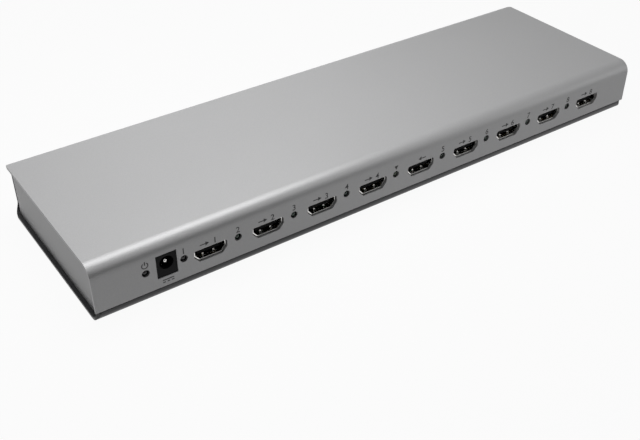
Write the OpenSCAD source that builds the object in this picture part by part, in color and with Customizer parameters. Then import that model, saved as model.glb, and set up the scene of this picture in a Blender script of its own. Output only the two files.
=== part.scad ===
// Nine-socket video splitter: a flat sheet-metal box with a row of sockets, lamps and a power jack
// along its long front. Millimetres, +Z up, front towards -Y. The origin lies on the surface that the
// feet stand on, under the middle of the housing.

/* [Housing] */
// Depth of the housing, front to back
body_d = 94.4; // [85:0.2:115]
// Height of the housing without its feet
body_h = 28; // [27:0.5:36]
// Thickness of the sheet
wall = 1.2; // [0.9:0.1:1.4]
// Outer radius of the four long bends
bend_r = 6; // [5:0.5:6.5]
// Radius of the two back corners, seen from above
corner_r = 6; // [3:0.5:8]
// Open seam between the cover and the base tray
seam_gap = 0.25; // [0.1:0.05:0.5]
// Height of the base tray's inner lip above the seam
lip_h = 2.2; // [1:0.2:2.6]
// Clearance between sheets that nest in each other
fit_gap = 0.1; // [0.05:0.05:0.2]

/* [End plates] */
// How far the end plates stand back from the ends of the housing
end_recess = 1.8; // [1:0.1:3]
// Length of the flanges that the end plates turn inwards
end_flange = 10; // [8:0.5:12]
// Outer radius of the end plates' upright bends
end_bend_r = 4.5; // [2.5:0.5:6]
// Distance of the base screws from the middle of the depth
end_screw_y = 26; // [15:1:28]

/* [Feet and screws] */
// Diameter of a rubber foot
foot_d = 10; // [8:0.5:12]
// Height of a rubber foot
foot_h = 1.5; // [1:0.1:3]
// Distance of the feet from the ends of the housing
foot_from_end = 24; // [20:1:40]
// Distance of the feet from the front and the back
foot_from_side = 15; // [13:1:25]
// Diameter of the base screws
base_screw_d = 2.5; // [2:0.1:3]
// Length of the base screws
base_screw_l = 5; // [4:0.5:7]
// Diameter of the board screws
board_screw_d = 3; // [2.5:0.1:3.5]
// Length of the board screws under their heads
board_screw_l = 6; // [5:0.5:8]
// Slack around a screw in its hole, on the radius
screw_gap = 0.05; // [0.03:0.01:0.1]

/* [Board] */
// Thickness of the circuit board
board_t = 1.6; // [1.2:0.2:1.6]
// Height of the standoffs under the board
standoff_h = 8.2; // [8:0.1:9]
// Width of a standoff across its flats
standoff_af = 5.5; // [5:0.5:7]
// Gap from the front wall to the board
board_front_gap = 1.4; // [1:0.1:2]
// Gap from the back wall to the board
board_back_gap = 8; // [5:0.5:20]
// Gap from the end plates' flanges to the board
board_end_gap = 3; // [1:0.5:4]

/* [Front row] */
// Distance of the first socket from the left end
first_port = 52.2; // [50:0.1:56]
// Spacing of the sockets
port_pitch = 28; // [25:0.5:34]
// Distance of the last socket from the right end
last_port = 29.8; // [27:0.1:60]
// Height of a socket's middle above the board
socket_height = 3.25; // [3:0.05:3.6]
// How far a socket's mouth stands behind the front face
socket_recess = 0.9; // [0.5:0.1:1.1]
// Gap around a socket in its cut-out
cutout_gap = 0.35; // [0.2:0.05:0.6]
// Distance of the power jack to the left of the first socket
jack_offset = 20.1; // [19:0.1:21]
// Distance of the power lamp to the left of the first socket
power_lamp_offset = 29.5; // [28.5:0.1:32]
// Distance of the first lamp to the left of the first socket
first_lamp_offset = 12.4; // [12:0.1:13]
// Distance of every other lamp to the left of its socket
lamp_offset = 14.9; // [13:0.1:15.5]

/* [Lamps] */
// Diameter of a lamp's lens
lamp_d = 3; // [2.5:0.1:3.2]
// Length of a lamp from its tip to its back
lamp_l = 5.3; // [4.5:0.1:6]
// Height of a lamp's axis above the board
lamp_height = 5; // [4.5:0.1:5.5]
// How far a lamp's tip stands behind the front face
lamp_recess = 0.4; // [0.1:0.1:0.8]
// Gap around a lamp in its hole
lamp_gap = 0.2; // [0.1:0.05:0.3]
// Thickness of a lamp's square leads
lead_w = 0.5; // [0.4:0.05:0.6]
// Spacing of a lamp's two leads
lead_pitch = 2.54; // [2:0.02:2.6]

/* [Video socket] */
// Width of the mouth at its top
mouth_w = 14; // [13.6:0.1:14.4]
// Height of the mouth
mouth_h = 4.55; // [4.4:0.05:4.8]
// Width of the mouth at its bottom
mouth_bottom_w = 10; // [9.4:0.1:11]
// Height of the upright part of the mouth's sides
mouth_side_h = 2.2; // [1.8:0.1:2.6]
// Radius of the mouth's corners
mouth_r = 0.5; // [0.3:0.05:0.7]
// Thickness of the shell
shell_t = 0.3; // [0.2:0.05:0.35]
// Width that the flared rim adds around the shell
rim_flare = 0.15; // [0.1:0.05:0.25]
// Depth of the flared rim
rim_l = 0.6; // [0.4:0.1:0.9]
// Length of the shell
socket_l = 11.4; // [10.5:0.1:12.5]
// Width of the tongue
tongue_w = 10.8; // [10.6:0.1:11.4]
// Thickness of the tongue
tongue_t = 1.3; // [1:0.05:1.5]
// How far the tongue stands behind the mouth
tongue_setback = 1.4; // [1:0.1:2]
// Thickness of the insulator's wall inside the shell's back
insulator_l = 2.6; // [2:0.1:3]
// Length of the insulator's block behind the shell
insulator_back_l = 1.5; // [1:0.1:2]
// Width of a contact
contact_w = 0.3; // [0.2:0.05:0.35]
// Thickness of a contact
contact_t = 0.15; // [0.1:0.01:0.2]
// Spacing of the contacts in a row
contact_pitch = 1; // [0.95:0.01:1.05]
// Length of a contact's foot on the board
contact_foot = 0.9; // [0.6:0.1:1.2]
// Distance of a spring finger from the socket's middle
finger_x = 2.6; // [2.2:0.1:3]
// Width of a spring finger
finger_w = 1.4; // [1:0.1:1.6]
// Length of a spring finger
finger_l = 5.6; // [5:0.1:6]
// How far a spring finger bows into the mouth
finger_bow = 0.55; // [0.3:0.05:0.7]
// Width of a shell leg
leg_w = 1.2; // [0.8:0.1:1.6]

/* [Power jack] */
// Width of the jack
jack_w = 9; // [8.6:0.1:9.4]
// Height of the jack
jack_h = 11; // [10.6:0.1:11]
// Length of the jack
jack_l = 14.2; // [13:0.1:15]
// Length of the jack's square front block
jack_front_l = 3.5; // [3:0.1:4]
// Height of the jack's axis above the board
jack_axis_h = 6.5; // [6.3:0.1:6.6]
// Diameter of the jack's bore
jack_bore_d = 6.3; // [5.8:0.1:6.5]
// Depth of the jack's bore
jack_bore_l = 9.5; // [9:0.1:10.5]
// How far the jack's face stands behind the front face
jack_recess = 0.2; // [0:0.1:0.6]
// Gap around the jack in its cut-out
jack_gap = 0.15; // [0.1:0.05:0.3]
// Diameter of the jack's centre pin
pin_d = 2.1; // [1.9:0.1:2.5]
// How far the pin's tip stands behind the jack's face
pin_setback = 0.8; // [0.4:0.1:1.5]
// Thickness of the jack's terminals and spring
terminal_t = 0.3; // [0.2:0.05:0.4]
// Width of the jack's terminals and spring
terminal_w = 2.4; // [2:0.1:2.8]
// How far the spring reaches into the bore
spring_lift = 0.7; // [0.4:0.1:0.9]

/* [Chips and cooling] */
// Distance of each splitter chip from the middle of the length
chip_x = 62; // [45:1:75]
// Width of a splitter chip
chip_w = 14; // [10:0.5:18]
// Height of a chip
chip_t = 1.4; // [1:0.1:2]
// Thickness of a thermal pad
pad_t = 0.5; // [0.3:0.1:1]
// Width of a heat sink
sink_w = 22; // [20:0.5:26]
// Height of a heat sink
sink_h = 9; // [6:0.5:11]
// Thickness of a heat sink's base
sink_base_t = 2; // [1.5:0.1:3]
// Number of fins on a heat sink
fin_count = 7; // [4:1:9]
// Thickness of a fin
fin_t = 1.2; // [0.8:0.1:1.4]
// Width of the control chip
control_w = 10; // [7:0.5:12]
// Diameter of a power capacitor
cap_d = 8; // [6:0.5:10]
// Height of a power capacitor
cap_h = 10; // [6:0.5:11]
// Width of the power choke
choke_w = 12; // [8:0.5:14]
// Height of the power choke
choke_h = 6; // [4:0.5:8]
// Length of the crystal
crystal_l = 11; // [8:0.5:12]

/* [Hidden] */
$fn = 48;
overcut = 1;

// Sockets and lamps along the front, from left to right, and the length that the row takes
port_names = ["1", "2", "3", "4", "in", "5", "6", "7", "8"];
lamp_names = concat(["power"], port_names);
body_l = first_port + (len(port_names) - 1) * port_pitch + last_port;

// Faces of the housing
half_l = body_l / 2;
front_y = -body_d / 2;
back_y = body_d / 2;
inner_front_y = front_y + wall;
inner_back_y = back_y - wall;
bottom_z = foot_h;
inner_floor_z = bottom_z + wall;
top_z = bottom_z + body_h;
mid_z = bottom_z + body_h / 2;
seam_z = bottom_z + bend_r;
socket_y = front_y + socket_recess;
end_face_x = half_l - end_recess;
flange_end_x = end_face_x - end_flange;

// Video socket, measured from the middle of its mouth with +Y going in
shell_half_w = mouth_w / 2 + shell_t;
mouth_bite = 0.001;
tongue_z = 0.2;
row_counts = [10, 9];
row_z = [tongue_z + tongue_t / 2, tongue_z - tongue_t / 2 - contact_t];
slot_gap = 0.05;
insulator_end = socket_l + insulator_back_l;
contact_end = insulator_end + contact_t + contact_foot;
leg_spots = [3.6, 8.8];
leg_below = 0.8;
leg_slot_gap = 0.2;
finger_start = 1.5;
finger_tip_l = 0.8;
finger_seat = shell_t / 5;
finger_window_gap = 0.3;

// Board and what stands on it
board_z = inner_floor_z + standoff_h;
board_top_z = board_z + board_t;
board_half_l = flange_end_x - board_end_gap;
board_front_y = inner_front_y + board_front_gap;
board_back_y = inner_back_y - board_back_gap;
standoff_edge = 6;
board_head_d = 2 * board_screw_d;
board_head_h = 0.65 * board_screw_d;
board_head_clear = 1;
board_hole_gap = 0.15;
standoff_front_y = socket_y + contact_end + board_head_d / 2 + board_head_clear;
standoff_spots = [
    for (x = [-1, 0, 1], y = [standoff_front_y, board_back_y - standoff_edge])
        [x * (board_half_l - standoff_edge), y]
];
end_tab_margin = 5;
end_screw_spots = [for (x = [-1, 1], y = [-1, 1]) [x * (flange_end_x + end_face_x) / 2, y * end_screw_y]];
base_head_d = 1.8 * base_screw_d;
base_head_land = 0.1;
base_head_h = wall - base_head_land;
foot_spots = [
    for (x = [-1, 1], y = [-1, 1]) [x * (half_l - foot_from_end), y * (back_y - foot_from_side)]
];

// Places along the front
port_z = board_top_z + socket_height;
lamp_z = board_top_z + lamp_height;
jack_z = board_top_z + jack_axis_h;
lamp_flange_w = 0.4;
lamp_flange_d = lamp_d + 2 * lamp_flange_w;
lamp_flange_t = 1;
lead_run = 1.2;
lead_below = 1;
function port_x(i) = -half_l + first_port + i * port_pitch;
function lamp_x(i) =
    i == 0 ? port_x(0) - power_lamp_offset
    : i == 1 ? port_x(0) - first_lamp_offset
    : port_x(i - 1) - lamp_offset;
jack_x = port_x(0) - jack_offset;

// Power jack, measured from the middle of its face on the board with +Y going in
jack_body_step = 0.2;
jack_body_r = jack_w / 2 - jack_body_step;
pin_stem_step = 0.3;
pin_stem_d = pin_d - 2 * pin_stem_step;
terminal_below = 1.2;
terminal_slot_gap = 0.2;
spring_slot_gap = 0.3;
spring_y = [2.2, 5, jack_bore_l + 1.2];

// Chips on the board
chip_y = 2;
control_spot = [0, 4];
crystal_spot = [16, 4];
choke_spot = [38 - board_half_l, -8];
cap_from_end = 16;
cap_space = 2;
cap_spots = [for (i = [0:2]) [cap_from_end - board_half_l + i * (cap_d + cap_space), 8]];
can_step = 0.1;
crystal_w = 4.5;
crystal_h = 3.5;
crystal_r = 2.1;
choke_r = 2;

// Outlines: normals, offsets and rounded corners of a polygon that runs anticlockwise. A bite lets the
// straight edges run just inside the arcs' tangents, so that the two cross instead of touching.
function out_normal(p, q) = [q[1] - p[1], p[0] - q[0]] / norm(q - p);
function normals(pts, i) =
    let (n = len(pts)) [out_normal(pts[(i + n - 1) % n], pts[i]), out_normal(pts[i], pts[(i + 1) % n])];
function grown(pts, g) =
    [for (i = [0:len(pts) - 1]) let (m = normals(pts, i)) pts[i] + g * (m[0] + m[1]) / (1 + m[0] * m[1])];
module rounded_polygon(pts, r, bite = 0) {
    centres = grown(pts, -r);
    polygon([for (i = [0:len(pts) - 1]) each [for (m = normals(pts, i)) centres[i] + (r - bite) * m]]);
    for (c = centres)
        translate(c) circle(r);
}
module rounded_rect(w, h, r) {
    rounded_polygon([[-w / 2, -h / 2], [w / 2, -h / 2], [w / 2, h / 2], [-w / 2, h / 2]], r);
}
// Extrudes an outline drawn in Y and Z along the whole length, or one drawn in X and Z between two depths
module along_x(l) {
    rotate([90, 0, 90]) linear_extrude(l, center = true) children();
}
module along_y(y0, y1) {
    translate([0, y1, 0]) rotate([90, 0, 0]) linear_extrude(y1 - y0) children();
}
module box(low, high) {
    translate(low) cube(high - low);
}
module at(spots, z = 0) {
    for (s = spots)
        translate([s[0], s[1], z]) children();
}

// Housing
module tube_outline() {
    translate([0, mid_z]) difference() {
        rounded_rect(body_d, body_h, bend_r);
        rounded_rect(body_d - 2 * wall, body_h - 2 * wall, bend_r - wall);
    }
}
module back_corner_cuts() {
    for (s = [-1, 1])
        scale([s, 1, 1]) translate([half_l - corner_r, back_y - corner_r, bottom_z - overcut])
            linear_extrude(body_h + 2 * overcut) difference() {
                square(corner_r + overcut);
                circle(corner_r);
            }
}
module socket_outline(grow) {
    rounded_polygon(grown(mouth_points(), grow), mouth_r + grow, mouth_bite);
}
module front_cuts() {
    for (i = [0:len(port_names) - 1])
        translate([port_x(i), 0, port_z]) along_y(front_y - overcut, inner_front_y + overcut)
            socket_outline(shell_t + rim_flare + cutout_gap);
    for (i = [0:len(lamp_names) - 1])
        translate([lamp_x(i), front_y - overcut, lamp_z]) rotate([-90, 0, 0])
            cylinder(h = wall + 2 * overcut, d = lamp_d + 2 * lamp_gap);
    box([jack_x - jack_w / 2 - jack_gap, front_y - overcut, board_top_z - jack_gap],
        [jack_x + jack_w / 2 + jack_gap, inner_front_y + overcut, board_top_z + jack_h + jack_gap]);
}
module cover() {
    color("silver") difference() {
        along_x(body_l) difference() {
            tube_outline();
            translate([front_y - overcut, bottom_z - overcut])
                square([body_d + 2 * overcut, seam_z + seam_gap / 2 - bottom_z + overcut]);
        }
        back_corner_cuts();
        front_cuts();
    }
}
module base_tray() {
    lip_half_l = flange_end_x - board_end_gap / 2;
    color("silver") difference() {
        union() {
            along_x(body_l) difference() {
                tube_outline();
                translate([front_y - overcut, seam_z - seam_gap / 2])
                    square([body_d + 2 * overcut, body_h]);
            }
            for (y = [inner_front_y + fit_gap, inner_back_y - fit_gap - wall])
                box([-lip_half_l, y, seam_z - bend_r / 2], [lip_half_l, y + wall, seam_z + lip_h]);
        }
        back_corner_cuts();
        at(end_screw_spots, bottom_z) base_screw_shape(screw_gap);
    }
}
module end_plate(side) {
    inner_d = body_d - 2 * wall - 2 * fit_gap;
    inner_h = body_h - 2 * wall - 2 * fit_gap;
    color("silver") difference() {
        scale([side, 1, 1]) {
            intersection() {
                translate([0, 0, bottom_z]) linear_extrude(body_h) difference() {
                    translate([flange_end_x, 0]) rounded_rect(2 * end_flange, inner_d, end_bend_r);
                    translate([flange_end_x, 0])
                        rounded_rect(2 * (end_flange - wall), inner_d - 2 * wall, end_bend_r - wall);
                    translate([flange_end_x - 2 * end_flange, -inner_d])
                        square([2 * end_flange, 2 * inner_d]);
                }
                along_x(body_l) translate([0, mid_z]) rounded_rect(inner_d, inner_h, bend_r - wall - fit_gap);
            }
            box([flange_end_x, -end_screw_y - end_tab_margin, inner_floor_z + fit_gap],
                [end_face_x - wall / 2, end_screw_y + end_tab_margin, inner_floor_z + fit_gap + wall]);
        }
        at(end_screw_spots, bottom_z) cylinder(h = base_screw_l + overcut, d = base_screw_d + 2 * screw_gap);
    }
}
module left_end_plate() {
    end_plate(-1);
}
module right_end_plate() {
    end_plate(1);
}

// Feet and screws
module rubber_feet() {
    edge = 0.4;
    color("dimgray") at(foot_spots) rotate_extrude()
        polygon([[0, 0], [foot_d / 2 - edge, 0], [foot_d / 2, edge], [foot_d / 2, foot_h], [0, foot_h]]);
}
module base_screw_shape(gap = 0) {
    cylinder(h = base_head_h, d1 = base_head_d + 2 * gap, d2 = base_screw_d + 2 * gap);
    cylinder(h = base_screw_l, d = base_screw_d + 2 * gap);
}
module base_screws() {
    color("gray") at(end_screw_spots, bottom_z) base_screw_shape();
}
module standoffs() {
    color("goldenrod") at(standoff_spots, inner_floor_z) difference() {
        cylinder(h = standoff_h, d = standoff_af / cos(30), $fn = 6);
        translate([0, 0, -overcut])
            cylinder(h = standoff_h + 2 * overcut, d = board_screw_d + 2 * screw_gap);
    }
}
module board_screws() {
    recess_d = board_screw_d;
    color("silver") at(standoff_spots, board_top_z) difference() {
        union() {
            cylinder(h = board_head_h, d1 = board_head_d, d2 = 0.85 * board_head_d);
            translate([0, 0, -board_screw_l]) cylinder(h = board_screw_l + overcut, d = board_screw_d);
        }
        translate([0, 0, board_head_h / 2]) cylinder(h = board_head_h, d = recess_d, $fn = 6);
    }
}

// Circuit board, with the holes for everything that is soldered through it
module main_board() {
    hole_h = board_t + 2 * overcut;
    color("darkgreen") difference() {
        box([-board_half_l, board_front_y, board_z], [board_half_l, board_back_y, board_top_z]);
        at(standoff_spots, board_z - overcut) cylinder(h = hole_h, d = board_screw_d + 2 * board_hole_gap);
        for (i = [0:len(port_names) - 1], s = [-1, 1], y = leg_spots)
            translate([port_x(i) + s * shell_half_w, socket_y + y, board_z - overcut])
                linear_extrude(hole_h)
                    square([shell_t + 2 * leg_slot_gap, leg_w + 2 * leg_slot_gap], center = true);
        for (i = [0:len(lamp_names) - 1], s = [-1, 1])
            translate([lamp_x(i) + s * lead_pitch / 2, lead_y() + lead_w / 2, board_z - overcut])
                cylinder(h = hole_h, d = 2 * lead_w);
        for (y = [pin_terminal_y(), spring_y[2]])
            translate([jack_x, front_y + jack_recess + y + terminal_t / 2, board_z - overcut])
                linear_extrude(hole_h)
                    square([terminal_w, terminal_t] + 2 * terminal_slot_gap * [1, 1], center = true);
    }
}

// Video sockets
function mouth_points() = [
    [-mouth_bottom_w / 2, -mouth_h / 2],
    [mouth_bottom_w / 2, -mouth_h / 2],
    [mouth_w / 2, mouth_h / 2 - mouth_side_h],
    [mouth_w / 2, mouth_h / 2],
    [-mouth_w / 2, mouth_h / 2],
    [-mouth_w / 2, mouth_h / 2 - mouth_side_h]
];
module at_socket(i) {
    translate([port_x(i), socket_y, port_z]) children();
}
// One leaf cut from the shell's upper or lower wall, bowed inwards near its free tip
module spring_finger(up) {
    root = finger_start + finger_l + shell_t;
    bow_y = finger_start + finger_tip_l;
    wall_z = mouth_h / 2;
    tip_z = wall_z - finger_bow / 2;
    bow_z = wall_z - finger_bow;
    scale([1, 1, up]) translate([finger_w / 2, 0, 0]) rotate([90, 0, -90])
        linear_extrude(finger_w) scale([-1, 1]) polygon([
            [root, wall_z + finger_seat], [root, wall_z + shell_t - finger_seat],
            [bow_y, bow_z + shell_t], [finger_start, tip_z + shell_t],
            [finger_start, tip_z], [bow_y, bow_z]
        ]);
}
module socket_shell(i) {
    window_w = finger_w + 2 * finger_window_gap;
    color("gainsboro") at_socket(i) {
        difference() {
            union() {
                along_y(0, rim_l) socket_outline(shell_t + rim_flare);
                along_y(rim_l, socket_l) socket_outline(shell_t);
            }
            along_y(-overcut, socket_l + overcut) socket_outline(0);
            for (x = [-finger_x, finger_x])
                box([x - window_w / 2, finger_start - finger_window_gap, -mouth_h],
                    [x + window_w / 2, finger_start + finger_l, mouth_h]);
        }
        for (x = [-finger_x, finger_x], up = [-1, 1])
            translate([x, 0, 0]) spring_finger(up);
        for (s = [-1, 1], y = leg_spots)
            translate([s * shell_half_w, y, 0])
                box([-shell_t / 2, -leg_w / 2, -socket_height - board_t - leg_below],
                    [shell_t / 2, leg_w / 2, mouth_h / 4]);
    }
}
module socket_insulator(i) {
    color("black") at_socket(i) difference() {
        union() {
            box([-tongue_w / 2, tongue_setback, tongue_z - tongue_t / 2],
                [tongue_w / 2, socket_l, tongue_z + tongue_t / 2]);
            along_y(socket_l - insulator_l, socket_l) socket_outline(-slot_gap);
            box([-mouth_w / 2, socket_l, -socket_height], [mouth_w / 2, insulator_end, mouth_h / 2]);
        }
        for (r = [0, 1])
            box([-row_counts[r] * contact_pitch / 2, socket_l - insulator_l - overcut,
                    row_z[r] - r * slot_gap],
                [row_counts[r] * contact_pitch / 2, insulator_end + overcut,
                    row_z[r] + contact_t + (1 - r) * slot_gap]);
    }
}
// Contacts lie along the tongue, run out through the back and stand on the board
module contact_row(r) {
    start = tongue_setback + contact_w;
    bend_y = insulator_end + contact_t;
    foot_z = -socket_height;
    z = row_z[r];
    for (k = [0:row_counts[r] - 1])
        translate([(k - (row_counts[r] - 1) / 2) * contact_pitch + contact_w / 2, 0, 0]) rotate([90, 0, -90])
            linear_extrude(contact_w) scale([-1, 1]) polygon([
                [start, z], [bend_y, z], [bend_y, foot_z], [bend_y + contact_foot, foot_z],
                [bend_y + contact_foot, foot_z + contact_t], [bend_y + contact_t, foot_z + contact_t],
                [bend_y + contact_t, z + contact_t], [start, z + contact_t]
            ]);
}
module socket_contacts(i) {
    color("gold") at_socket(i)
        for (r = [0, 1])
            contact_row(r);
}

// Lamps, lying along Y with the leads turned down through the board
function lead_y() = front_y + lamp_recess + lamp_l + lead_run;
module lamp(i) {
    dome_r = lamp_d / 2;
    color("darkseagreen") translate([lamp_x(i), front_y + lamp_recess, lamp_z]) rotate([-90, 0, 0]) {
        translate([0, 0, dome_r]) sphere(dome_r);
        translate([0, 0, dome_r]) cylinder(h = lamp_l - dome_r, r = dome_r);
        translate([0, 0, lamp_l - lamp_flange_t]) cylinder(h = lamp_flange_t, d = lamp_flange_d);
    }
}
module lamp_leads() {
    back = front_y + lamp_recess + lamp_l;
    foot = board_z - lead_below;
    color("gainsboro")
        for (i = [0:len(lamp_names) - 1], s = [-1, 1])
            translate([lamp_x(i) + s * lead_pitch / 2, 0, 0]) rotate([90, 0, 90])
                linear_extrude(lead_w, center = true) polygon([
                    [back, lamp_z - lead_w / 2], [lead_y(), lamp_z - lead_w / 2], [lead_y(), foot],
                    [lead_y() + lead_w, foot], [lead_y() + lead_w, lamp_z + lead_w / 2],
                    [back, lamp_z + lead_w / 2]
                ]);
}

// Power jack
function pin_terminal_y() = jack_l + slot_gap;
module at_jack() {
    translate([jack_x, front_y + jack_recess, board_top_z]) children();
}
module jack_housing() {
    color("dimgray") at_jack() difference() {
        union() {
            box([-jack_w / 2, 0, 0], [jack_w / 2, jack_front_l, jack_h]);
            box([-jack_body_r, 0, 0], [jack_body_r, jack_l, jack_axis_h]);
            translate([0, 0, jack_axis_h]) rotate([-90, 0, 0]) cylinder(h = jack_l, r = jack_body_r);
        }
        translate([0, -overcut, jack_axis_h]) rotate([-90, 0, 0])
            cylinder(h = jack_bore_l + overcut, d = jack_bore_d);
        translate([0, 0, jack_axis_h]) rotate([-90, 0, 0])
            cylinder(h = jack_l + overcut, d = pin_stem_d + 2 * slot_gap);
        box([-terminal_w / 2 - spring_slot_gap, spring_y[0] - spring_slot_gap, -overcut],
            [terminal_w / 2 + spring_slot_gap, spring_y[2] + terminal_t + slot_gap,
                jack_axis_h - pin_d / 2 - spring_lift]);
    }
}
module jack_pin() {
    tip_r = pin_d / 2;
    low = -board_t - terminal_below;
    color("gainsboro") at_jack() {
        translate([0, pin_setback + tip_r, jack_axis_h]) {
            sphere(tip_r);
            rotate([-90, 0, 0]) cylinder(h = jack_bore_l - pin_setback - tip_r, r = tip_r);
        }
        translate([0, jack_bore_l - overcut, jack_axis_h]) rotate([-90, 0, 0])
            cylinder(h = pin_terminal_y() + 2 * terminal_t - jack_bore_l + overcut, d = pin_stem_d);
        box([-terminal_w / 2, pin_terminal_y(), low],
            [terminal_w / 2, pin_terminal_y() + terminal_t, jack_axis_h + tip_r]);
    }
}
module jack_spring() {
    bore_low = jack_axis_h - jack_bore_d / 2;
    crest = bore_low + spring_lift;
    heel = bore_low - 2 * terminal_t;
    low = -board_t - terminal_below;
    color("gainsboro") at_jack() translate([terminal_w / 2, 0, 0]) rotate([90, 0, -90])
        linear_extrude(terminal_w) scale([-1, 1]) polygon([
            [spring_y[0], bore_low - terminal_t], [spring_y[1], crest - terminal_t], [spring_y[2], heel],
            [spring_y[2], low], [spring_y[2] + terminal_t, low],
            [spring_y[2] + terminal_t, heel + terminal_t], [spring_y[1], crest], [spring_y[0], bore_low]
        ]);
}

// Chips, cooling and power parts on the board
module splitter_chip(side) {
    color("black") translate([side * chip_x, chip_y, board_top_z + chip_t / 2])
        cube([chip_w, chip_w, chip_t], center = true);
}
module splitter_chip_left() {
    splitter_chip(-1);
}
module splitter_chip_right() {
    splitter_chip(1);
}
module thermal_pads() {
    color("lightgray") at([[-chip_x, chip_y], [chip_x, chip_y]], board_top_z + chip_t + pad_t / 2)
        cube([chip_w, chip_w, pad_t], center = true);
}
module heat_sink(side) {
    base_z = board_top_z + chip_t + pad_t;
    step = (sink_w - fin_t) / (fin_count - 1);
    color("dimgray") translate([side * chip_x - sink_w / 2, chip_y - sink_w / 2, base_z]) {
        cube([sink_w, sink_w, sink_base_t]);
        for (k = [0:fin_count - 1])
            translate([k * step, 0, 0]) cube([fin_t, sink_w, sink_h]);
    }
}
module heat_sink_left() {
    heat_sink(-1);
}
module heat_sink_right() {
    heat_sink(1);
}
module control_chip() {
    color("black") translate([control_spot[0], control_spot[1], board_top_z + chip_t / 2])
        cube([control_w, control_w, chip_t], center = true);
}
module crystal() {
    color("gainsboro") at([crystal_spot], board_top_z) linear_extrude(crystal_h)
        rounded_rect(crystal_l, crystal_w, crystal_r);
}
module power_choke() {
    color("dimgray") at([choke_spot], board_top_z) linear_extrude(choke_h)
        rounded_rect(choke_w, choke_w, choke_r);
}
module power_capacitors() {
    base_t = 1;
    color("gainsboro") at(cap_spots, board_top_z) {
        translate([0, 0, base_t / 2]) cube([cap_d, cap_d, base_t], center = true);
        cylinder(h = cap_h, r = cap_d / 2 - can_step);
    }
}

cover();
base_tray();
left_end_plate();
right_end_plate();
rubber_feet();
base_screws();
main_board();
standoffs();
board_screws();
for (i = [0:len(port_names) - 1]) {
    socket_shell(i);
    socket_insulator(i);
    socket_contacts(i);
}
for (i = [0:len(lamp_names) - 1])
    lamp(i);
lamp_leads();
jack_housing();
jack_pin();
jack_spring();
splitter_chip_left();
splitter_chip_right();
thermal_pads();
heat_sink_left();
heat_sink_right();
control_chip();
crystal();
power_choke();
power_capacitors();
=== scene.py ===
import math

import bmesh
import bpy
from bpy.props import FloatProperty, FloatVectorProperty, PointerProperty
from mathutils import Matrix, Vector


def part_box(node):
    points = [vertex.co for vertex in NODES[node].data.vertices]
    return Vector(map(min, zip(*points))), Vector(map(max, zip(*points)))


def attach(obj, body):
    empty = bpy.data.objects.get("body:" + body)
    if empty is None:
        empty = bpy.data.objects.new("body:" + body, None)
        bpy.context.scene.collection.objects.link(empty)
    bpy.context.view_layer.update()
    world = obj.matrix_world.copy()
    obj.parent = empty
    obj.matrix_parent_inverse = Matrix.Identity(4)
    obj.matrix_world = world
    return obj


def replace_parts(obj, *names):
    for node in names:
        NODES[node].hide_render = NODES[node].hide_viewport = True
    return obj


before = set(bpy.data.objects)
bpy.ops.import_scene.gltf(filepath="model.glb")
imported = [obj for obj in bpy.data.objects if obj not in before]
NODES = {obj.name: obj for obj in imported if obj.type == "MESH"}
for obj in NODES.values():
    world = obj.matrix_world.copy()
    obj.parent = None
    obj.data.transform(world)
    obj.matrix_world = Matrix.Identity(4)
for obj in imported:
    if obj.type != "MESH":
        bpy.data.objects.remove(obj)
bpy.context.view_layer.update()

bl_info = {
    "name": "Video splitter dressing",
    "version": (1, 0, 0),
    "blender": (4, 5, 0),
    "location": "3D View > Sidebar > Splitter",
    "description": "Finishes, front markings, fasteners and a studio for a packed video splitter",
    "category": "Object",
}

MM = 0.001
BODY = "root"
PORTS = ("1", "2", "3", "4", "in", "5", "6", "7", "8")
LAMPS = ("power",) + PORTS

# Room that a cutter reaches past the sheet it cuts
OVERCUT = 2 * MM
# Inside of a lamp: radius and depth of the cup's profile in millimetres, and the posts behind it
CUP_PROFILE = ((0, 0.3), (0.3, 0.3), (0.62, 0), (0.75, 0), (0.75, 0.8), (0, 0.8))
CUP_SET_BACK = 2.2 * MM
CUP_LENGTH = 0.8 * MM
POST_HALF_WIDTH = 0.22 * MM
POST_SPACING = 1.0 * MM
POST_TOP = 0.3 * MM
POST_END = 0.2 * MM
# Studio: sizes, places and aims in metres
FLOOR_HALF = 6
KEY_SIZE, KEY_PLACE, KEY_AIM = (0.26, 0.2), (-0.06, 0.03, 0.26), (-0.06, 0.031, 0)
FILL_SIZE, FILL_PLACE, FILL_AIM = (0.3, 0.3), (0.5, -0.42, 0.16), (0.12, 0, 0.01)
CARD_MIDDLE, CARD_SIZE, CARD_NEAR, CARD_FAR = (-0.1, 0.5), (3.0, 1.0), -1.3, -1.29


def colour(name, description, default):
    """A colour setting."""
    return FloatVectorProperty(name=name, description=description, subtype="COLOR", size=3, min=0, max=1,
                               default=default)


def length(name, description, default):
    """A length setting, in metres."""
    return FloatProperty(name=name, description=description, unit="LENGTH", min=0, default=default,
                         precision=5)


def factor(name, description, default):
    """A setting from 0 to 1."""
    return FloatProperty(name=name, description=description, subtype="FACTOR", min=0, max=1,
                         default=default)


def number(name, description, default):
    """A plain number."""
    return FloatProperty(name=name, description=description, default=default)


class HousingLook(bpy.types.PropertyGroup):
    """The blasted silver-grey sheet."""
    tone: colour("Sheet colour", "Colour of the blasted sheet", (0.42, 0.42, 0.424))
    # Painted shade: the tray colour is near black to stand in for the shade along the foot of the box
    tray_shade_tone: colour("Tray colour", "Colour of the base tray, painted dark as the shade along its foot", (0.048, 0.048, 0.05))
    # Painted shade: the end plates are a darker copy of the sheet, standing in for the shade on the ends
    end_shade_tone: colour("End colour", "Colour of the end plates, darker as painted shade", (0.33, 0.33, 0.333))
    front_corner: length("Front corner", "Plan radius of the tray's front corners", 3 * MM)
    metal: factor("Metal", "How much of the sheet's look is bare metal", 0.32)
    roughness: factor("Roughness", "Mean roughness of the sheet", 0.42)
    grain: number("Grain", "Grains of the blasted finish per metre", 2400)
    grain_depth: length("Grain depth", "Height of the blasted grain", 0.004 * MM)
    edge: length("Broken edge", "Radius of the broken sheet edges", 0.1 * MM)


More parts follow.
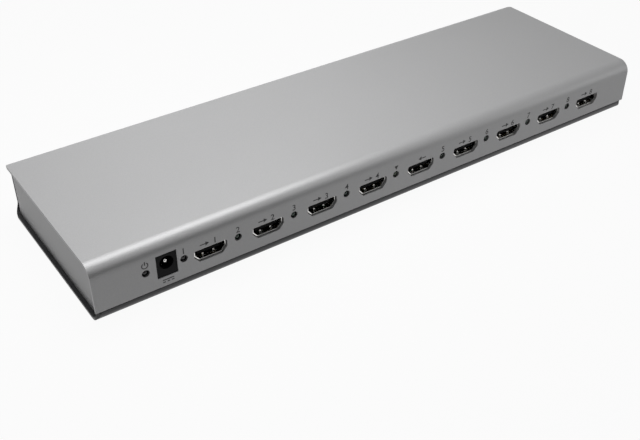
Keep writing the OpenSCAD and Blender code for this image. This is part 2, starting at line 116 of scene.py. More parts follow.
class UndersideLook(bpy.types.PropertyGroup):
    """The feet and the base screws."""
    rubber: colour("Rubber", "Colour of the feet", (0.016, 0.016, 0.016))
    zinc: colour("Zinc", "Plating of the screws", (0.52, 0.52, 0.53))
    foot_radius: length("Foot radius", "Radius of a rubber foot", 5 * MM)
    head_radius: length("Head radius", "Radius of a base screw's head", 2.25 * MM)
    neck_radius: length("Neck radius", "Radius of a base screw's shank", 1.25 * MM)
    head_depth: length("Head depth", "Depth of a base screw's cone", 1.1 * MM)
    recess: length("Recess", "Depth of the cross recess", 0.7 * MM)


class ConnectorLook(bpy.types.PropertyGroup):
    """The sockets, the jack and the lamps."""
    nickel: colour("Nickel", "Plating of the shells and pins", (0.72, 0.71, 0.69))
    gold: colour("Contact plating", "Thin gold on the contacts", (0.83, 0.6, 0.24))
    moulding: colour("Moulding", "Black plastic of the insulators", (0.006, 0.006, 0.0065))
    jack: colour("Jack moulding", "Dark grey plastic of the jack", (0.007, 0.007, 0.0072))
    dome_radius: length("Dome radius", "Radius of the pressed dome on a spring finger", 0.5 * MM)
    dome_reach: length("Dome reach", "From a socket's middle to its two domes", 2.6 * MM)
    dome_depth: length("Dome depth", "From a socket's front to its domes", 2.3 * MM)
    dome_drop: length("Dome drop", "From the top of a shell down to the lower fingers", 4.45 * MM)
    lamp_green: colour("Output lamps", "Tint of the unlit output lamps", (0.006, 0.04, 0.02))
    lamp_input: colour("Input lamp", "Tint of the unlit input lamp", (0.03, 0.07, 0.01))
    lamp_dark: colour("Power lamp", "Tint of the unlit power lamp and the first lamp", (0.012, 0.012, 0.013))


class MarkLook(bpy.types.PropertyGroup):
    """The printed marks on the front."""
    ink: colour("Ink", "Colour of the print", (0.018, 0.018, 0.018))
    height: length("Digit height", "Height of the printed digits", 2.9 * MM)
    film: length("Film", "Thickness of the print", 0.02 * MM)
    stroke: length("Stroke", "Line width of the drawn signs", 0.5 * MM)
    above_socket: length("Above a socket", "Gap from a socket's rim to its digit", 0.9 * MM)
    above_lamp: length("Above a lamp", "Gap from a lamp's hole to its digit", 0.5 * MM)
    below_jack: length("Below the jack", "Gap from the jack to its sign", 1.7 * MM)


class StudioLook(bpy.types.PropertyGroup):
    """Floor, lamps and camera."""
    floor: colour("Floor", "Colour of the floor", (0.5, 0.5, 0.5))
    floor_lift: factor("Floor lift", "How far the floor goes to white where it is seen", 0.95)
    ambient: factor("Ambient", "Strength of the light from all round", 0.04)
    key: number("Key lamp", "Radiance of the main softbox", 4.3)
    fill: number("Fill lamp", "Radiance of the softbox on the front right", 1.5)
    lens: FloatProperty(name="Lens", description="Focal length", subtype="DISTANCE_CAMERA", default=52.86)
    azimuth: FloatProperty(name="Azimuth", description="Angle round the object", subtype="ANGLE",
                           default=math.radians(-34.759))
    elevation: FloatProperty(name="Elevation", description="Angle above the floor", subtype="ANGLE",
                             default=math.radians(35.952))
    distance: length("Distance", "From the aim to the camera", 487.68 * MM)
    aim: FloatVectorProperty(name="Aim", description="Point that the camera looks at", subtype="TRANSLATION",
                             size=3, default=(-13.4 * MM, 0, -32.53 * MM))


class Graph:
    """Short calls for adding nodes to a tree and joining them."""

    def __init__(self, tree):
        self.tree = tree

    def add(self, kind, inputs=None, **settings):
        """Adds a node. An input takes a value, or a socket to join to it."""
        made = self.tree.nodes.new(kind)
        for key, value in settings.items():
            setattr(made, key, value)
        for key, value in (inputs or {}).items():
            if isinstance(value, bpy.types.NodeSocket):
                self.tree.links.new(value, made.inputs[key])
            else:
                made.inputs[key].default_value = value
        return made

    def maths(self, operation, first, second=0.0):
        """One sum, with values or sockets."""
        return self.add("ShaderNodeMath", {0: first, 1: second}, operation=operation).outputs[0]

    def spread(self, value, low, high):
        """A value from 0 to 1, spread from low to high."""
        return self.add("ShaderNodeMapRange", {"Value": value, "To Min": low, "To Max": high}).outputs[0]

    def blend(self, mask, first, second):
        """Two colours, blended by a mask."""
        made = self.add("ShaderNodeMix", {"Factor": mask}, data_type="RGBA")
        for place, value in ((6, first), (7, second)):
            if isinstance(value, bpy.types.NodeSocket):
                self.tree.links.new(value, made.inputs[place])
            else:
                made.inputs[place].default_value = value
        return made.outputs[2]


def rgba(tint, scale=1.0):
    """A colour with its alpha, brighter or darker by a factor."""
    return (tint[0] * scale, tint[1] * scale, tint[2] * scale, 1.0)


def new_group(name, inputs, outputs):
    """A shader node group with its sockets, as its tree, its graph and its two end nodes."""
    tree = bpy.data.node_groups.new(name, "ShaderNodeTree")
    for key, default in inputs.items():
        socket = tree.interface.new_socket(key, in_out="INPUT", socket_type="NodeSocketFloat")
        socket.default_value = default
    for key, kind in outputs.items():
        tree.interface.new_socket(key, in_out="OUTPUT", socket_type=kind)
    graph = Graph(tree)
    return tree, graph, graph.add("NodeGroupInput").outputs, graph.add("NodeGroupOutput").inputs


def grain_group():
    """Fine blasted grain with faint clouds, from the surface's own place."""
    tree, graph, given, put = new_group("Blasted grain", {"Grain": 2400.0, "Clouds": 9.0},
                                        {"Tone": "NodeSocketFloat", "Height": "NodeSocketFloat"})
    place = graph.add("ShaderNodeTexCoord").outputs["Object"]
    fine = graph.add("ShaderNodeTexNoise", {"Vector": place, "Scale": given["Grain"], "Detail": 2.0,
                                            "Roughness": 0.65}).outputs[0]
    cloud = graph.add("ShaderNodeTexNoise", {"Vector": place, "Scale": given["Clouds"], "Detail": 3.0}).outputs[0]
    tone = graph.maths("ADD", graph.maths("MULTIPLY", fine, 0.7), graph.maths("MULTIPLY", cloud, 0.3))
    tree.links.new(tone, put["Tone"])
    tree.links.new(fine, put["Height"])
    return tree


def edge_group():
    """Broken sheet edges: a rounded normal, and a mask that is 1 on the edges."""
    tree, graph, given, put = new_group("Broken edge", {"Radius": 0.0002},
                                        {"Normal": "NodeSocketVector", "Edge": "NodeSocketFloat"})
    rounded = graph.add("ShaderNodeBevel", {"Radius": given["Radius"]}, samples=4).outputs[0]
    flat = graph.add("ShaderNodeNewGeometry").outputs["Normal"]
    along = graph.add("ShaderNodeVectorMath", {0: rounded, 1: flat}, operation="DOT_PRODUCT").outputs["Value"]
    mask = graph.add("ShaderNodeMapRange", {"Value": along, "From Min": 0.995, "From Max": 0.75}).outputs[0]
    tree.links.new(rounded, put["Normal"])
    tree.links.new(mask, put["Edge"])
    return tree


def scuff_group():
    """Fine drawn lines and stains on plated metal."""
    tree, graph, given, put = new_group("Plating scuffs", {"Lines": 900.0, "Stains": 240.0},
                                        {"Lines": "NodeSocketFloat", "Stain": "NodeSocketFloat"})
    place = graph.add("ShaderNodeTexCoord").outputs["Object"]
    drawn = graph.add("ShaderNodeMapping", {"Vector": place, "Scale": (1.0, 0.06, 1.0)}).outputs[0]
    lines = graph.add("ShaderNodeTexNoise", {"Vector": drawn, "Scale": given["Lines"], "Detail": 4.0}).outputs[0]
    stain = graph.add("ShaderNodeTexNoise", {"Vector": place, "Scale": given["Stains"], "Detail": 2.0}).outputs[0]
    tree.links.new(lines, put["Lines"])
    tree.links.new(stain, put["Stain"])
    return tree


def skin_group():
    """The fine spark-eroded skin of a moulding, and its uneven gloss."""
    tree, graph, given, put = new_group("Moulded skin", {"Skin": 3000.0, "Flow": 160.0},
                                        {"Height": "NodeSocketFloat", "Gloss": "NodeSocketFloat"})
    place = graph.add("ShaderNodeTexCoord").outputs["Object"]
    pits = graph.add("ShaderNodeTexVoronoi", {"Vector": place, "Scale": given["Skin"]}).outputs["Distance"]
    flow = graph.add("ShaderNodeTexNoise", {"Vector": place, "Scale": given["Flow"], "Detail": 3.0}).outputs[0]
    tree.links.new(pits, put["Height"])
    tree.links.new(flow, put["Gloss"])
    return tree


GROUP_MAKERS = {"grain": grain_group, "edge": edge_group, "scuffs": scuff_group, "skin": skin_group}
GROUPS = {}


class Finish:
    """One material: its Principled shader, its graph and the shared groups placed in it."""

    def __init__(self, name, **constants):
        self.material = bpy.data.materials.new(name)
        self.material.use_nodes = True
        self.graph = Graph(self.material.node_tree)
        self.shader = self.material.node_tree.nodes["Principled BSDF"]
        for key, value in constants.items():
            self.shader.inputs[key.replace("_", " ").title().replace("Ior", "IOR")].default_value = value

    def group(self, kind, **values):
        """Places a shared group and returns its outputs."""
        if kind not in GROUPS:
            GROUPS[kind] = GROUP_MAKERS[kind]()
        made = self.graph.add("ShaderNodeGroup", node_tree=GROUPS[kind])
        for key, value in values.items():
            made.inputs[key.title()].default_value = value
        return made.outputs

    def join(self, value, socket):
        """Joins a value to one of the shader's sockets."""
        self.material.node_tree.links.new(value, self.shader.inputs[socket])

    def bump(self, height, depth, normal=None):
        """A bump of that depth in metres, on a given normal."""
        inputs = {"Height": height, "Distance": depth, "Strength": 1.0}
        if normal is not None:
            inputs["Normal"] = normal
        self.join(self.graph.add("ShaderNodeBump", inputs).outputs[0], "Normal")


def sheet_finish(look, name, tone):
    """Blasted sheet with broken edges."""
    made = Finish(name, metallic=look.metal, specular_ior_level=0.25)
    grain = made.group("grain", grain=look.grain)
    edge = made.group("edge", radius=look.edge)
    body = made.graph.blend(grain["Tone"], rgba(tone, 0.82), rgba(tone, 1.18))
    made.join(made.graph.blend(edge["Edge"], body, rgba(tone, 1.08)), "Base Color")
    made.join(made.graph.spread(grain["Tone"], look.roughness - 0.05, look.roughness + 0.05), "Roughness")
    made.bump(grain["Height"], look.grain_depth, edge["Normal"])
    return made.material


def plated_finish(name, tint, roughness=0.24, lines=900.0):
    """Plated metal with drawn lines and faint stains."""
    made = Finish(name, metallic=1.0)
    scuffs = made.group("scuffs", lines=lines)
    made.join(made.graph.blend(scuffs["Stain"], rgba(tint, 0.85), rgba(tint, 1.1)), "Base Color")
    made.join(made.graph.spread(scuffs["Lines"], roughness - 0.08, roughness + 0.1), "Roughness")
    made.bump(scuffs["Lines"], 0.003 * MM)
    return made.material


def moulded_finish(name, tint, roughness=0.45, skin=3000.0, depth=0.006 * MM, **constants):
    """Moulded plastic or rubber."""
    made = Finish(name, **constants)
    skin = made.group("skin", skin=skin)
    made.join(made.graph.blend(skin["Gloss"], rgba(tint, 0.8), rgba(tint, 1.25)), "Base Color")
    made.join(made.graph.spread(skin["Gloss"], roughness - 0.08, roughness + 0.08), "Roughness")
    made.bump(skin["Height"], depth)
    return made.material


def lens_finish(name, tint):
    """Tinted clear lens of an unlit lamp."""
    made = Finish(name, transmission_weight=0.25, ior=1.5)
    skin = made.group("skin", skin=1500.0, flow=500.0)
    made.join(made.graph.blend(skin["Gloss"], rgba(tint, 0.8), rgba(tint, 1.3)), "Base Color")
    made.join(made.graph.spread(skin["Gloss"], 0.08, 0.2), "Roughness")
    return made.material


def board_finish(name):
    """Green solder mask over faint copper tracks."""
    made = Finish(name, coat_weight=0.3)
    graph = made.graph
    place = graph.add("ShaderNodeTexCoord").outputs["Object"]
    tracks = graph.add("ShaderNodeTexBrick", {"Vector": place, "Scale": 90.0, "Mortar Size": 0.06})
    made.join(graph.blend(tracks.outputs["Fac"], (0.006, 0.06, 0.022, 1), (0.02, 0.12, 0.05, 1)), "Base Color")
    skin = made.group("skin", skin=900.0)
    made.join(graph.spread(skin["Gloss"], 0.3, 0.45), "Roughness")
    made.bump(tracks.outputs["Fac"], 0.03 * MM)
    return made.material


def paint(material, *names):
    """Gives CAD nodes a material."""
    for name in names:
        slots = NODES[name].data.materials
        slots.clear()
        slots.append(material)


def piece(name, mesh, material):
    """A new piece of the object, riding on its body."""
    mesh.materials.append(material)
    made = bpy.data.objects.new(name, mesh)
    bpy.context.scene.collection.objects.link(made)
    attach(made, BODY)
    return made


def mesh_from(name, bm, smooth_angle=None):
    """Turns a bmesh into a mesh with clean normals, smooth below an angle."""
    bmesh.ops.remove_doubles(bm, verts=bm.verts, dist=1e-7)
    bmesh.ops.recalc_face_normals(bm, faces=bm.faces)
    if smooth_angle is not None:
        for face in bm.faces:
            face.smooth = True
        for edge in bm.edges:
            edge.smooth = edge.calc_face_angle(math.pi) < smooth_angle
    mesh = bpy.data.meshes.new(name)
    bm.to_mesh(mesh)
    bm.free()
    return mesh


def turn(bm, profile, place, steps=40):
    """A closed turned solid from (radius, height) points, with its first and last on the axis."""
    made = []
    for radius, height in profile:
        made.append([bm.verts.new(place @ Vector((radius * math.cos(a), radius * math.sin(a), height)))
                     for a in (2 * math.pi * k / steps for k in range(steps))] if radius > 0
                    else [bm.verts.new(place @ Vector((0, 0, height)))])
    for low, high in zip(made, made[1:]):
        for k in range(steps):
            corners = [low[k % len(low)], low[(k + 1) % steps % len(low)],
                       high[(k + 1) % steps % len(high)], high[k % len(high)]]
            bm.faces.new(list(dict.fromkeys(corners)))


def prism(bm, outline, near, far):
    """A closed prism between two depths along Y, from an outline of (x, z) points."""
    rings = [[bm.verts.new((x, y, z)) for x, z in outline] for y in (near, far)]
    count = len(outline)
    bm.faces.new(rings[0])
    bm.faces.new(rings[1][::-1])
    for k in range(count):
        bm.faces.new((rings[0][k], rings[1][k], rings[1][(k + 1) % count], rings[0][(k + 1) % count]))


def front_face():
    """Where the front face lies along Y."""
    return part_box("cover")[0].y


def corner_cutter(bm, x, side, y, radius, bottom, top, steps=12):
    """An upright block that leaves a front corner with a plan radius."""
    middle_x, middle_y = x - side * radius, y + radius
    out_x, out_y = x + side * OVERCUT, y - OVERCUT
    turns = [math.pi / 2 * k / steps for k in range(steps + 1)]
    outline = [(middle_x + side * radius * math.sin(a), middle_y - radius * math.cos(a)) for a in turns]
    outline += [(out_x, middle_y), (out_x, out_y), (middle_x, out_y)]
    low, high = ([bm.verts.new((px, py, z)) for px, py in outline] for z in (bottom, top))
    count = len(outline)
    made = [bm.faces.new(low), bm.faces.new(high)]
    made += [bm.faces.new((low[k], low[(k + 1) % count], high[(k + 1) % count], high[k]))
             for k in range(count)]
    bmesh.ops.recalc_face_normals(bm, faces=made)


class SPLITTER_OT_housing(bpy.types.Operator):
    """Finishes the cover, the base tray and the end plates"""
    bl_idname = "splitter.housing"
    bl_label = "Finish the housing"

    def execute(self, context):
        look = context.scene.splitter_housing
        sheet = sheet_finish(look, "blasted sheet", look.tone)
        # Painted shade: the tray's sheet is made near black to stand in for the shade along the foot
        dark = sheet_finish(look, "blasted tray with painted shade", look.tray_shade_tone)
        paint(sheet, "cover")
        # Painted shade: the end plates get a darker copy of the sheet for the shade that falls on the ends
        paint(sheet_finish(look, "blasted end plate with painted shade", look.end_shade_tone), "left_end_plate", "right_end_plate")
        self.rounded(context, "base_tray", "tray_skin", dark, look.front_corner)
        return {"FINISHED"}

    def rounded(self, context, node, name, material, radius):
        """The sheet piece again, with its front corners rounded in plan."""
        low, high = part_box(node)
        bm = bmesh.new()
        for x, side in ((low.x, -1), (high.x, 1)):
            corner_cutter(bm, x, side, low.y, radius, low.z - OVERCUT, high.z + OVERCUT)
        cutter = bpy.data.objects.new("corner_cutter", mesh_from("corner_cutter", bm))
        blank = bpy.data.objects.new("sheet_blank", NODES[node].data.copy())
        for made in (cutter, blank):
            context.scene.collection.objects.link(made)
        cut = blank.modifiers.new("rounded corners", "BOOLEAN")
        cut.operation, cut.solver, cut.object = "DIFFERENCE", "EXACT", cutter
        mesh = bpy.data.meshes.new_from_object(blank.evaluated_get(context.evaluated_depsgraph_get()))
        for made in (cutter, blank):
            bpy.data.objects.remove(made)
        mesh.name = name
        mesh.materials.clear()
        mesh.shade_smooth()
        mesh.set_sharp_from_angle(angle=math.radians(30))
        skin = piece(name, mesh, material)
        flat = skin.modifiers.new("flat faces stay flat", "WEIGHTED_NORMAL")
        flat.keep_sharp, flat.weight = True, 100
        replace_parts(skin, node)


def cross_outline(reach, half_width):
    """The 12 corners of a cross, anticlockwise."""
    arm = [(reach, -half_width), (reach, half_width), (half_width, half_width)]
    turned = []
    for k in range(4):
        c, s = round(math.cos(math.pi / 2 * k)), round(math.sin(math.pi / 2 * k))
        turned += [(c * x - s * y, s * x + c * y) for x, y in arm]
    return turned


def cross_screw(bm, look, place, end, steps=36):
    """A countersunk screw with a cross recess, its head down on the XY plane."""
    def ring(points, z):
        return [bm.verts.new(place @ Vector((x, y, z))) for x, y in points]

    def wall(low, high):
        count = len(low)
        for k in range(count):
            bm.faces.new((low[k], low[(k + 1) % count], high[(k + 1) % count], high[k]))

    turns = [2 * math.pi * k / steps for k in range(steps)]
    head, shank = ([(r * math.cos(a), r * math.sin(a)) for a in turns]
                   for r in (look.head_radius, look.neck_radius))
    rim = ring(head, 0)
    neck = ring(shank, look.head_depth)
    tip = ring(shank, end)
    wall(rim, neck)
    wall(neck, tip)
    bm.faces.new(tip)
    mouth = ring(cross_outline(0.62 * look.head_radius, 0.16 * look.head_radius), 0)
    deep = ring(cross_outline(0.4 * look.head_radius, 0.12 * look.head_radius), look.recess)
    wall(mouth, deep)
    bm.faces.new(deep)
    loops = []
    for loop in (rim, mouth):
        for k, first in enumerate(loop):
            second = loop[(k + 1) % len(loop)]
            loops.append(bm.edges.get((first, second)) or bm.edges.new((first, second)))
    bmesh.ops.triangle_fill(bm, use_beauty=True, use_dissolve=False, edges=loops)


class SPLITTER_OT_underside(bpy.types.Operator):
    """Makes the moulded feet and the cross-recess base screws"""
    bl_idname = "splitter.underside"
    bl_label = "Fit the feet and screws"

    def execute(self, context):
        look = context.scene.splitter_underside
        rubber = moulded_finish("rubber", look.rubber, 0.75, 1800.0)
        zinc = plated_finish("zinc screw", look.zinc, 0.3)
        low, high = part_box("rubber_feet")
        radius, top = look.foot_radius, high.z - low.z
        profile = [(0, 0.1 * top), (0.54 * radius, 0.1 * top), (0.62 * radius, 0), (0.86 * radius, 0),
                   (0.95 * radius, 0.08 * top), (radius, 0.33 * top), (0.97 * radius, 0.8 * top), (radius, top),
                   (0, top)]
        bm = bmesh.new()
        for x in (low.x + radius, high.x - radius):
            for y in (low.y + radius, high.y - radius):
                turn(bm, profile, Matrix.Translation((x, y, low.z)))
        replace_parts(piece("moulded_feet", mesh_from("moulded_feet", bm, math.radians(40)), rubber),
                    "rubber_feet")
        low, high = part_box("base_screws")
        radius = look.head_radius
        bm = bmesh.new()
        for x in (low.x + radius, high.x - radius):
            for y in (low.y + radius, high.y - radius):
                cross_screw(bm, look, Matrix.Translation((x, y, low.z)), high.z - low.z)
        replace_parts(piece("cross_screws", mesh_from("cross_screws", bm, math.radians(35)), zinc),
                    "base_screws")
        return {"FINISHED"}


class SPLITTER_OT_sockets(bpy.types.Operator):
    """Finishes the shells, tongues and contacts of the video sockets"""
    bl_idname = "splitter.sockets"
    bl_label = "Finish the sockets"

    def execute(self, context):
        look = context.scene.splitter_connectors
        nickel = plated_finish("nickel shell", look.nickel)
        paint(nickel, *(f"socket_{p}_shell" for p in PORTS))
        paint(moulded_finish("black insulator", look.moulding, 0.6, specular_ior_level=0.06),
              *(f"socket_{p}_insulator" for p in PORTS))
        paint(plated_finish("gold contact", look.gold, 0.2), *(f"socket_{p}_contacts" for p in PORTS))
        polished = plated_finish("polished nickel", look.nickel, 0.12)
        bm = bmesh.new()
        for name in PORTS:
            self.domes(bm, look, f"socket_{name}_shell")
        piece("finger_domes", mesh_from("finger_domes", bm, math.radians(50)), polished)
        return {"FINISHED"}

    def domes(self, bm, look, shell):
        """The pressed domes on a mouth's two lower spring fingers."""
        low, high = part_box(shell)
        x, y, z = (low.x + high.x) / 2, low.y + look.dome_depth, high.z - look.dome_drop
        shape = ((0, -0.3), (1, -0.3), (1, 0), (0.87, 0.5), (0.5, 0.87), (0, 1))
        for side in (-1, 1):
            turn(bm, [(look.dome_radius * r, look.dome_radius * h) for r, h in shape],
                 Matrix.Translation((x + side * look.dome_reach, y, z)), 20)


class SPLITTER_OT_jack(bpy.types.Operator):
    """Finishes the power jack, its pin and its spring"""
    bl_idname = "splitter.jack"
    bl_label = "Finish the power jack"

    def execute(self, context):
        look = context.scene.splitter_connectors
        paint(moulded_finish("jack moulding", look.jack, 0.45, specular_ior_level=0.08), "jack_housing")
        paint(plated_finish("jack plating", look.nickel, 0.16, 1600.0), "jack_pin", "jack_spring")
        return {"FINISHED"}


class SPLITTER_OT_lamps(bpy.types.Operator):
    """Finishes the lamps and sets a die cup and post inside each lens"""
    bl_idname = "splitter.lamps"
    bl_label = "Finish the lamps"

    def execute(self, context):
        look = context.scene.splitter_connectors
        tints = {"power": look.lamp_dark, "1": look.lamp_dark, "in": look.lamp_input}
        lenses = {}
        for name in LAMPS:
            tint = tints.get(name, look.lamp_green)
            key = tuple(tint)
            if key not in lenses:
                lenses[key] = lens_finish(f"lamp lens {len(lenses) + 1}", tint)
            paint(lenses[key], f"lamp_{name}")
        tin = plated_finish("tinned lead", (0.62, 0.61, 0.6), 0.35)
        paint(tin, "lamp_leads")
        bm = bmesh.new()
        for name in LAMPS:
            self.core(bm, f"lamp_{name}")
        piece("lamp_cores", mesh_from("lamp_cores", bm, math.radians(35)), tin)
        return {"FINISHED"}

    def core(self, bm, lamp):
        """A die cup on its post, and the second post beside it, inside one lens."""
        low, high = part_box(lamp)
        x, z = (low.x + high.x) / 2, (low.z + high.z) / 2
        cup = low.y + CUP_SET_BACK
        turn(bm, [(r * MM, h * MM) for r, h in CUP_PROFILE],
             Matrix.Translation((x, cup, z)) @ Matrix.Rotation(-math.pi / 2, 4, "X"), 20)
        for shift, start in ((0, cup + CUP_LENGTH), (POST_SPACING, cup + POST_TOP)):
            prism(bm, bar(x + shift, z, 2 * POST_HALF_WIDTH, 2 * POST_HALF_WIDTH), start, high.y - POST_END)


class SPLITTER_OT_inside(bpy.types.Operator):
    """Finishes the board and what stands on it"""
    bl_idname = "splitter.inside"
    bl_label = "Finish the inside"

    def execute(self, context):
        paint(board_finish("solder mask"), "main_board")
        paint(plated_finish("turned brass", (0.62, 0.44, 0.18), 0.3), "standoffs")
        paint(plated_finish("board screw zinc", (0.5, 0.5, 0.51), 0.32), "board_screws")
        paint(moulded_finish("chip moulding", (0.02, 0.02, 0.021), 0.5),
              "splitter_chip_left", "splitter_chip_right", "control_chip")
        paint(moulded_finish("thermal pad", (0.35, 0.36, 0.38), 0.8), "thermal_pads")
        paint(plated_finish("black sink", (0.03, 0.03, 0.032), 0.45), "heat_sink_left", "heat_sink_right")
        paint(plated_finish("drawn can", (0.6, 0.6, 0.61), 0.3), "crystal", "power_capacitors")
        paint(moulded_finish("choke moulding", (0.05, 0.05, 0.052), 0.6), "power_choke")
        return {"FINISHED"}


def digit_mesh(name, digit, height, film):
    """A printed digit standing on the XZ plane, centred in X with its foot at Z 0, facing -Y."""
    curve = bpy.data.curves.new(name, "FONT")
    curve.body = digit
    curve.extrude = film
    curve.offset = 0.012
    holder = bpy.data.objects.new(name, curve)
    bpy.context.scene.collection.objects.link(holder)
    bpy.context.view_layer.update()
    mesh = bpy.data.meshes.new_from_object(holder.evaluated_get(bpy.context.evaluated_depsgraph_get()))
    bpy.data.objects.remove(holder)
    bpy.data.curves.remove(curve)
    xs = [v.co.x for v in mesh.vertices]
    ys = [v.co.y for v in mesh.vertices]
    scale = height / (max(ys) - min(ys))
    shift = Matrix.Translation((-(max(xs) + min(xs)) / 2, -min(ys), 0))
    mesh.transform(Matrix.Rotation(math.pi / 2, 4, "X") @ Matrix.Diagonal((scale, scale, 1, 1)) @ shift)
    mesh.materials.clear()
    mesh.name = name
    return mesh


def ring_sector(x, z, radius, stroke, gap, steps=28):
    """Outline of a ring that is open at its top by a half angle."""
    turns = [math.pi / 2 + gap + (2 * math.pi - 2 * gap) * k / steps for k in range(steps + 1)]
    outer, inner = radius + stroke / 2, radius - stroke / 2
    return ([(x + outer * math.cos(a), z + outer * math.sin(a)) for a in turns]
            + [(x + inner * math.cos(a), z + inner * math.sin(a)) for a in reversed(turns)])


def bar(x, z, width, height):
    """Outline of an upright bar about its middle."""
    return [(x - width / 2, z - height / 2), (x + width / 2, z - height / 2),
            (x + width / 2, z + height / 2), (x - width / 2, z + height / 2)]


class SPLITTER_OT_marks(bpy.types.Operator):
    """Prints plain digits, arrows and power signs on the front"""
    bl_idname = "splitter.marks"
    bl_label = "Print the front marks"

    def execute(self, context):
        look = context.scene.splitter_marks
        self.ink = moulded_finish("printed ink", look.ink, 0.5, 4000.0, 0.002 * MM)
        self.front, self.film = front_face(), look.film
        height, stroke = look.height, look.stroke
        for name in PORTS:
            low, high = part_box(f"socket_{name}_shell")
            x, z = (low.x + high.x) / 2, high.z + look.above_socket
            into = -1 if name == "in" else 1
            mid = z + height / 2
            at = x - height * (0.8 if into > 0 else 0)
            tip = [(at, mid - 0.36 * height), (at + into * 0.62 * height, mid), (at, mid + 0.36 * height)]
            self.signs(f"arrow_socket_{name}",
                       [bar(at - into * 0.45 * height, mid, 0.9 * height, stroke), tip[::into]])
            lamp_low, lamp_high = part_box(f"lamp_{name}")
            lamp_x, lamp_z = (lamp_low.x + lamp_high.x) / 2, lamp_high.z + look.above_lamp
            if name == "in":
                top = lamp_z + 0.75 * height
                self.signs("arrow_lamp_in", [[(lamp_x - 0.4 * height, top), (lamp_x, lamp_z),
                                              (lamp_x + 0.4 * height, top)]])
                continue
            for kind, at_x, at_z in (("socket", x + 0.75 * height, z), ("lamp", lamp_x, lamp_z)):
                label = f"digit_{kind}_{name}"
                mesh = digit_mesh(label, name, height, self.film)
                mesh.transform(Matrix.Translation((at_x, self.front, at_z)))
                piece(label, mesh, self.ink)
        low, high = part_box("lamp_power")
        x, z = (low.x + high.x) / 2, high.z + look.above_lamp + 0.55 * height
        self.signs("power_sign", [ring_sector(x, z, 0.46 * height, stroke, math.radians(32)),
                                  bar(x, z + 0.36 * height, stroke, 0.6 * height)])
        low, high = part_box("jack_housing")
        x, z = (low.x + high.x) / 2, low.z - look.below_jack
        dash = 0.42 * height
        self.signs("direct_current_sign", [bar(x, z, 4.2 * dash, stroke)]
                   + [bar(x + k * 1.6 * dash, z - 2.2 * stroke, dash, stroke) for k in (-1, 0, 1)])
        return {"FINISHED"}

    def signs(self, name, outlines):
        """Thin printed outlines on the front, as one piece."""
        bm = bmesh.new()
        for outline in outlines:
            prism(bm, outline, self.front - self.film, self.front + self.film)
        piece(name, mesh_from(name, bm), self.ink)


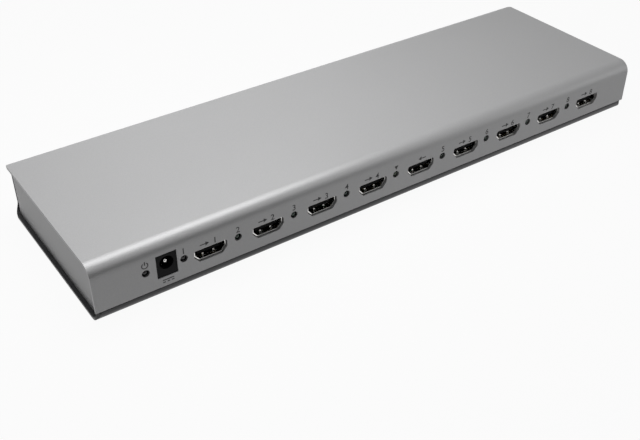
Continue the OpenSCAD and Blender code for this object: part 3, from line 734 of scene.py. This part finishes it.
class SPLITTER_OT_stage(bpy.types.Operator):
    """Sets up the floor, the softboxes, the world and the camera"""
    bl_idname = "splitter.stage"
    bl_label = "Set the stage"

    def execute(self, context):
        look = context.scene.splitter_studio
        self.floor(look)
        self.softbox("main_softbox", KEY_SIZE, look.key, KEY_PLACE, KEY_AIM)
        self.softbox("fill_softbox", FILL_SIZE, look.fill, FILL_PLACE, FILL_AIM)
        self.card()
        self.world(context, look)
        self.camera(context, look)
        context.scene.view_settings.view_transform = "Standard"
        return {"FINISHED"}

    def seen(self, graph):
        """1 where the camera, a mirror or clear plastic looks."""
        path = graph.add("ShaderNodeLightPath").outputs
        rays = graph.maths("MAXIMUM", path["Is Camera Ray"], path["Is Glossy Ray"])
        return graph.maths("MAXIMUM", rays, path["Is Transmission Ray"])

    def floor(self, look):
        """A plain pale floor that keeps the object's shadow."""
        bm = bmesh.new()
        bmesh.ops.create_grid(bm, x_segments=1, y_segments=1, size=FLOOR_HALF)
        material = bpy.data.materials.new("pale floor")
        material.use_nodes = True
        graph = Graph(material.node_tree)
        paper = material.node_tree.nodes["Principled BSDF"]
        paper.inputs["Base Color"].default_value = rgba(look.floor)
        paper.inputs["Roughness"].default_value = 0.9
        white = graph.add("ShaderNodeEmission", {"Color": (1, 1, 1, 1), "Strength": 1.0})
        lift = graph.maths("MULTIPLY", self.seen(graph), look.floor_lift)
        mixed = graph.add("ShaderNodeMixShader", {0: lift, 1: paper.outputs[0], 2: white.outputs[0]})
        end = material.node_tree.nodes["Material Output"]
        material.node_tree.links.new(mixed.outputs[0], end.inputs["Surface"])
        mesh = mesh_from("floor", bm)
        mesh.materials.append(material)
        made = bpy.data.objects.new("floor", mesh)
        bpy.context.scene.collection.objects.link(made)

    def softbox(self, name, size, radiance, place, aim):
        """A rectangular lamp of a given radiance, turned to a point."""
        lamp = bpy.data.lights.new(name, "AREA")
        lamp.shape = "RECTANGLE"
        lamp.size, lamp.size_y = size
        lamp.energy = radiance * math.pi * size[0] * size[1]
        made = bpy.data.objects.new(name, lamp)
        made.location = place
        made.rotation_euler = (Vector(aim) - Vector(place)).to_track_quat("-Z", "Y").to_euler()
        bpy.context.scene.collection.objects.link(made)

    def card(self):
        """A dark card in front, which only reflections and bounced light see."""
        bm = bmesh.new()
        prism(bm, bar(*CARD_MIDDLE, *CARD_SIZE), CARD_NEAR, CARD_FAR)
        material = bpy.data.materials.new("dark card")
        material.use_nodes = True
        shader = material.node_tree.nodes["Principled BSDF"]
        shader.inputs["Base Color"].default_value = (0.02, 0.02, 0.02, 1)
        shader.inputs["Roughness"].default_value = 1.0
        mesh = mesh_from("dark_card", bm)
        mesh.materials.append(material)
        made = bpy.data.objects.new("dark_card", mesh)
        made.visible_camera = False
        made.visible_shadow = False
        bpy.context.scene.collection.objects.link(made)

    def world(self, context, look):
        """A white background, and a dimmer light from all round."""
        world = bpy.data.worlds.new("studio")
        world.use_nodes = True
        context.scene.world = world
        graph = Graph(world.node_tree)
        sky = world.node_tree.nodes["Background"]
        sky.inputs["Color"].default_value = (1, 1, 1, 1)
        strength = graph.spread(self.seen(graph), look.ambient, 1.0)
        world.node_tree.links.new(strength, sky.inputs["Strength"])

    def camera(self, context, look):
        """The camera at the photograph's angle."""
        lens = bpy.data.cameras.new("camera")
        lens.lens = look.lens
        lens.clip_start = 0.01
        made = bpy.data.objects.new("camera", lens)
        flat = math.cos(look.elevation)
        back = Vector((math.sin(look.azimuth) * flat, -math.cos(look.azimuth) * flat, math.sin(look.elevation)))
        made.location = Vector(look.aim) + back * look.distance
        made.rotation_euler = (-back).to_track_quat("-Z", "Y").to_euler()
        context.scene.collection.objects.link(made)
        context.scene.camera = made


class SPLITTER_PT_panel(bpy.types.Panel):
    """Lists the steps that dress the splitter"""
    bl_idname = "SPLITTER_PT_panel"
    bl_label = "Video splitter"
    bl_space_type = "VIEW_3D"
    bl_region_type = "UI"
    bl_category = "Splitter"

    def draw(self, context):
        for step in STEPS:
            self.layout.operator(step.bl_idname)
        for name in LOOKS:
            look = getattr(context.scene, name)
            box = self.layout.box()
            for key in look.__annotations__:
                box.prop(look, key)


LOOKS = {"splitter_housing": HousingLook, "splitter_underside": UndersideLook,
         "splitter_connectors": ConnectorLook, "splitter_marks": MarkLook, "splitter_studio": StudioLook}
STEPS = (SPLITTER_OT_housing, SPLITTER_OT_underside, SPLITTER_OT_sockets, SPLITTER_OT_jack, SPLITTER_OT_lamps,
         SPLITTER_OT_inside, SPLITTER_OT_marks, SPLITTER_OT_stage)
CLASSES = tuple(LOOKS.values()) + STEPS + (SPLITTER_PT_panel,)


def register():
    """Registers the classes and hangs the settings on the scene."""
    for made in CLASSES:
        bpy.utils.register_class(made)
    for name, look in LOOKS.items():
        setattr(bpy.types.Scene, name, PointerProperty(type=look))


def unregister():
    """Takes the settings and the classes away again."""
    for name in LOOKS:
        delattr(bpy.types.Scene, name)
    for made in reversed(CLASSES):
        bpy.utils.unregister_class(made)


def main():
    """Dresses the splitter step by step."""
    register()
    for step in STEPS:
        group, name = step.bl_idname.split(".")
        getattr(getattr(bpy.ops, group), name)()


if __name__ == "__main__":
    main()
